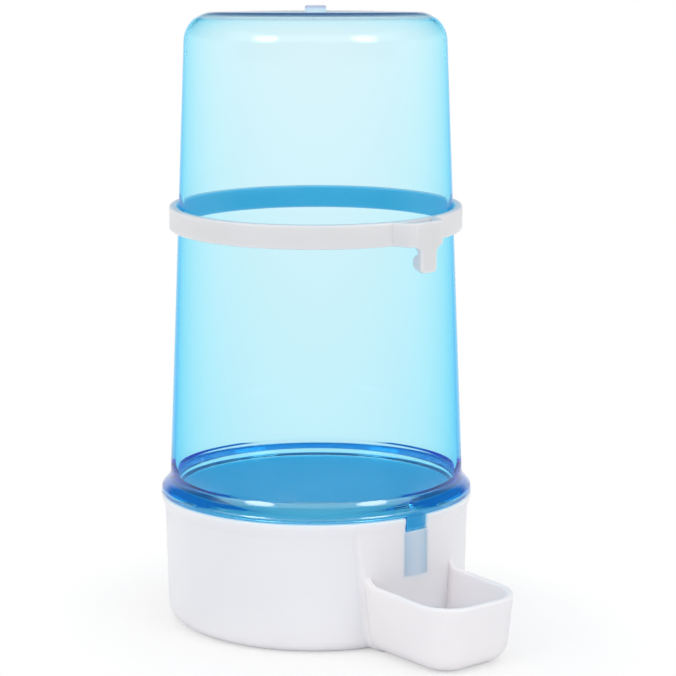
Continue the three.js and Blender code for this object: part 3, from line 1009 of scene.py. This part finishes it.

# %% [markdown]
# The boss on the crown is where the plastic was cut from the runner of the mould. The cut is rough
# and milky; its top gets a painted shade, a little greyer than its sides.

# %% Gate scar
SCAR_SIDE, SCAR_TOP_SHADE = (0.95, 0.95, 0.97), (0.58, 0.57, 0.68)
SCAR_SHADE_HEIGHTS = (124.2, 124.8)
SCAR_FOOT = 123.4
SCAR_RADIUS = 2.3
SCAR_RELIEF = (0.0001, 0.5)
gate_scar, nodes, links, scar, out = new_material("gate_scar")
skin = skin_node(nodes, Grain=2600)
height, _ = height_and_radius(nodes, links)
# Painted shade: the top of the boss turns greyer with height.
top_shade = ramp(nodes, links, height, SCAR_SHADE_HEIGHTS[0] * MM, SCAR_SHADE_HEIGHTS[1] * MM, 0, 1)
links.new(tinted(nodes, links, top_shade, SCAR_SIDE, SCAR_TOP_SHADE), scar.inputs["Base Color"])
links.new(relief(nodes, links, skin.outputs["Grain"], *SCAR_RELIEF), scar.inputs["Normal"])
scar.inputs["Roughness"].default_value = 0.6
scar.inputs["Subsurface Weight"].default_value = 1.0
scar.inputs["Subsurface Radius"].default_value = (1.0, 1.0, 1.0)
scar.inputs["Subsurface Scale"].default_value = 0.001
tank.data.materials.append(gate_scar)
for face in tank.data.polygons:
    middle = face.center
    if middle.z > SCAR_FOOT * MM and math.hypot(middle.x, middle.y) < SCAR_RADIUS * MM:
        face.material_index = 1
print("faces of the scar:", sum(face.material_index == 1 for face in tank.data.polygons))

# %% [markdown]
# ### Milky white plastic
# Uncoloured polypropylene is never quite opaque: light wanders a millimetre or so inside it, which
# softens edges and lets the blue key show through the thin skin in front of it. Subsurface scattering
# gives that. The surface is satin, with a fine grain and faint upright drag marks from the mould.

# %% Milky white plastics
SATIN = (0.36, 0.46)
SATIN_RELIEF = (0.00002, 0.25)


def milky(name, low, high, wander):
    """Satin white plastic between two near tones, in which light wanders this many metres."""
    material, nodes, links, body, out = new_material(name)
    skin = skin_node(nodes, Grain=2600, Cloud=70, Drag=900)
    cloud = between(nodes, links, skin.outputs["Cloud"], 0, 1)
    links.new(tinted(nodes, links, cloud, low, high), body.inputs["Base Color"])
    links.new(between(nodes, links, skin.outputs["Drag"], *SATIN), body.inputs["Roughness"])
    links.new(relief(nodes, links, skin.outputs["Grain"], *SATIN_RELIEF), body.inputs["Normal"])
    body.inputs["IOR"].default_value = 1.49
    body.inputs["Subsurface Weight"].default_value = 1.0
    body.inputs["Subsurface Radius"].default_value = (1.0, 1.0, 1.0)
    body.inputs["Subsurface Scale"].default_value = wander
    return material


base_white = milky("milky_base_plastic", (0.885, 0.857, 0.867), (0.90, 0.872, 0.882), 0.0013)
ring_white = milky("milky_ring_plastic", (0.76, 0.76, 0.77), (0.78, 0.78, 0.79), 0.0008)
base.data.materials.append(base_white)
ring.data.materials.append(ring_white)
print("milky plastics:", base_white.name, ring_white.name)

# %% [markdown]
# ## Studio
# The object stands on a pale floor under two soft boxes, left and right of the camera. Behind it is
# white: the floor and the world are white for rays that come from the eye, straight or through the
# clear plastic, so the backdrop adds no light of its own. A mirrored ray sees what stands in a real
# studio instead: white behind the object, a dim blue room in front. Without that room a glossy edge
# before a white backdrop has nothing dark to mirror and looks like paper.

# %% What rays see
ROOM = (0.06, 0.13, 0.28)
SWEEP = (-0.1, 0.5)


def facing(nodes, links, way, target):
    """Cosine of the angle between a direction and a fixed one."""
    unit = nodes.new("ShaderNodeVectorMath")
    unit.operation = "NORMALIZE"
    cosine = nodes.new("ShaderNodeVectorMath")
    cosine.operation = "DOT_PRODUCT"
    cosine.inputs[1].default_value = target
    links.new(way, unit.inputs[0])
    links.new(unit.outputs["Vector"], cosine.inputs[0])
    return cosine.outputs["Value"]


def backdrop_share(nodes, links, way):
    """1 towards the white sweep behind the object, 0 towards the darker room in front."""
    return ramp(nodes, links, facing(nodes, links, way, to_camera), *SWEEP, 1, 0)


def mirrored_rays(nodes, links):
    """1 for rays that were mirrored somewhere on their way, 0 for those that only went through."""
    way = nodes.new("ShaderNodeLightPath")
    return math_node(nodes, links, "GREATER_THAN", way.outputs["Glossy Depth"], 0.5)


def backdrop_colour(nodes, links, share):
    """White for the eye and through glass; mirrored rays see the sweep only by its share."""
    missing = math_node(nodes, links, "SUBTRACT", 1, share)
    lost = math_node(nodes, links, "MULTIPLY", mirrored_rays(nodes, links), missing)
    return tinted(nodes, links, lost, (1, 1, 1), ROOM)


def seen_rays(nodes, links):
    """1 for rays that show the backdrop, 0 for rays that only carry light."""
    way = nodes.new("ShaderNodeLightPath")
    seen = math_node(nodes, links, "MAXIMUM", way.outputs["Is Camera Ray"], way.outputs["Is Glossy Ray"])
    return math_node(nodes, links, "MAXIMUM", seen, way.outputs["Is Transmission Ray"])


print("room in front of the object:", ROOM)

# %% [markdown]
# The floor is a plain matt sheet near the object, where the shadow falls, and fades into the same
# white further out. The fade is an oval that follows the base and its spout.

# %% Floor
SHEET_RADIUS = 4.0
SHEET_GAP = 0.0001
PAPER = (0.98, 0.98, 0.98)
OVAL_SHIFT = (0, 0.0075, 0)
OVAL_SCALE = (1, 0.82, 1)
FADE = (0.034, 0.06)
NEAR_WHITE = 0.5
floor_mesh = bpy.data.meshes.new("studio_floor")
work = bmesh.new()
bmesh.ops.create_circle(work, cap_ends=True, segments=96, radius=SHEET_RADIUS)
work.to_mesh(floor_mesh)
work.free()
floor = bpy.data.objects.new("studio_floor", floor_mesh)
floor.location.z = -SHEET_GAP
bpy.context.scene.collection.objects.link(floor)

paper, nodes, links, matt, out = new_material("studio_paper")
matt.inputs["Base Color"].default_value = (*PAPER, 1)
matt.inputs["Roughness"].default_value = 1.0
matt.inputs["Specular IOR Level"].default_value = 0.0
glow = nodes.new("ShaderNodeEmission")
place = nodes.new("ShaderNodeTexCoord")
oval = nodes.new("ShaderNodeMapping")
oval.inputs["Location"].default_value = OVAL_SHIFT
oval.inputs["Scale"].default_value = OVAL_SCALE
length = nodes.new("ShaderNodeVectorMath")
length.operation = "LENGTH"
links.new(place.outputs["Object"], oval.inputs["Vector"])
links.new(oval.outputs["Vector"], length.inputs[0])
fade = ramp(nodes, links, length.outputs["Value"], *FADE, NEAR_WHITE, 1)
white = math_node(nodes, links, "MULTIPLY", seen_rays(nodes, links), fade)
behind = backdrop_share(nodes, links, place.outputs["Object"])
links.new(backdrop_colour(nodes, links, behind), glow.inputs["Color"])
surface = mixed(nodes, links, white, matt.outputs["BSDF"], glow.outputs["Emission"])
links.new(surface, out.inputs["Surface"])
floor.data.materials.append(paper)
print("floor of radius", SHEET_RADIUS, "m")

# %% [markdown]
# The world lights the object softly, more from above than from the sides, as a white ceiling does.
# Mirrored rays also meet a bright band, the tent round the set, and in it the faces of the two soft
# boxes. A lamp that is bright enough to be mirrored like that would overexpose the white base, so the
# mirrored faces are painted into the world and the lamps keep a plain level.

# %% World
AMBIENT = (0.44, 1.08)
WHITE_UP_TO = (0.06, 0.26)
TENT = (2, 2, 2)
TENT_RISE = (0.14, 0.24)
TENT_FALL = (0.56, 0.67)
BOX_FACE = (9, 9, 9)
BOX_EDGE = (math.cos(math.radians(13)), math.cos(math.radians(10)))
BOX_RISE = math.radians(21)
BOX_TURN = math.radians(45)
boxes = {
    "softbox_left": direction(CAMERA_HEADING - BOX_TURN, BOX_RISE),
    "softbox_right": direction(CAMERA_HEADING + BOX_TURN, BOX_RISE),
}

world = bpy.data.worlds.new("studio_world")
bpy.context.scene.world = world
world.use_nodes = True
nodes, links = world.node_tree.nodes, world.node_tree.links
nodes.clear()
place = nodes.new("ShaderNodeTexCoord")
split = nodes.new("ShaderNodeSeparateXYZ")
links.new(place.outputs["Generated"], split.inputs["Vector"])
height = split.outputs["Z"]
behind = backdrop_share(nodes, links, place.outputs["Generated"])
below = ramp(nodes, links, height, *WHITE_UP_TO, 1, 0)
surround = backdrop_colour(nodes, links, math_node(nodes, links, "MULTIPLY", below, behind))
mirrored = mirrored_rays(nodes, links)
rise = ramp(nodes, links, height, *TENT_RISE, 0, 1)
fall = ramp(nodes, links, height, *TENT_FALL, 1, 0)
tent = math_node(nodes, links, "MULTIPLY", rise, fall)
tent = math_node(nodes, links, "MULTIPLY", tent, math_node(nodes, links, "SUBTRACT", 1, behind))
tent = math_node(nodes, links, "MULTIPLY", tent, mirrored)
surround = tinted(nodes, links, tent, surround, TENT)
for towards in boxes.values():
    near = facing(nodes, links, place.outputs["Generated"], towards)
    patch = math_node(nodes, links, "MULTIPLY", ramp(nodes, links, near, *BOX_EDGE, 0, 1), mirrored)
    surround = tinted(nodes, links, patch, surround, BOX_FACE)
backdrop = nodes.new("ShaderNodeBackground")
links.new(surround, backdrop.inputs["Color"])
ambient = nodes.new("ShaderNodeBackground")
ambient.inputs["Color"].default_value = (1, 1, 1, 1)
links.new(ramp(nodes, links, height, 0, 1, *AMBIENT), ambient.inputs["Strength"])
seen = seen_rays(nodes, links)
surface = mixed(nodes, links, seen, ambient.outputs["Background"], backdrop.outputs["Background"])
out = nodes.new("ShaderNodeOutputWorld")
links.new(surface, out.inputs["Surface"])
print("ambient light from", AMBIENT[0], "at the horizon to", AMBIENT[1], "overhead")

# %% [markdown]
# The lamps are two square area lights, turned to the middle of the base. They stand in the directions
# whose faces were painted above, so that the shading and the mirrored spots agree.

# %% Soft boxes
BOX_SIZE = 0.34
BOX_ENERGY = 1.0
BOX_DISTANCE = 0.9
LIT_HEIGHT = 0.06
for name, towards in boxes.items():
    lamp = bpy.data.lights.new(name, "AREA")
    lamp.shape = "SQUARE"
    lamp.size = BOX_SIZE
    lamp.energy = BOX_ENERGY
    holder = bpy.data.objects.new(name, lamp)
    holder.location = Vector((0, 0, LIT_HEIGHT)) + towards * BOX_DISTANCE
    holder.rotation_euler = (-towards).to_track_quat("-Z", "Y").to_euler()
    bpy.context.scene.collection.objects.link(holder)
bpy.context.scene.view_settings.view_transform = "Standard"
print("lamps:", list(boxes))
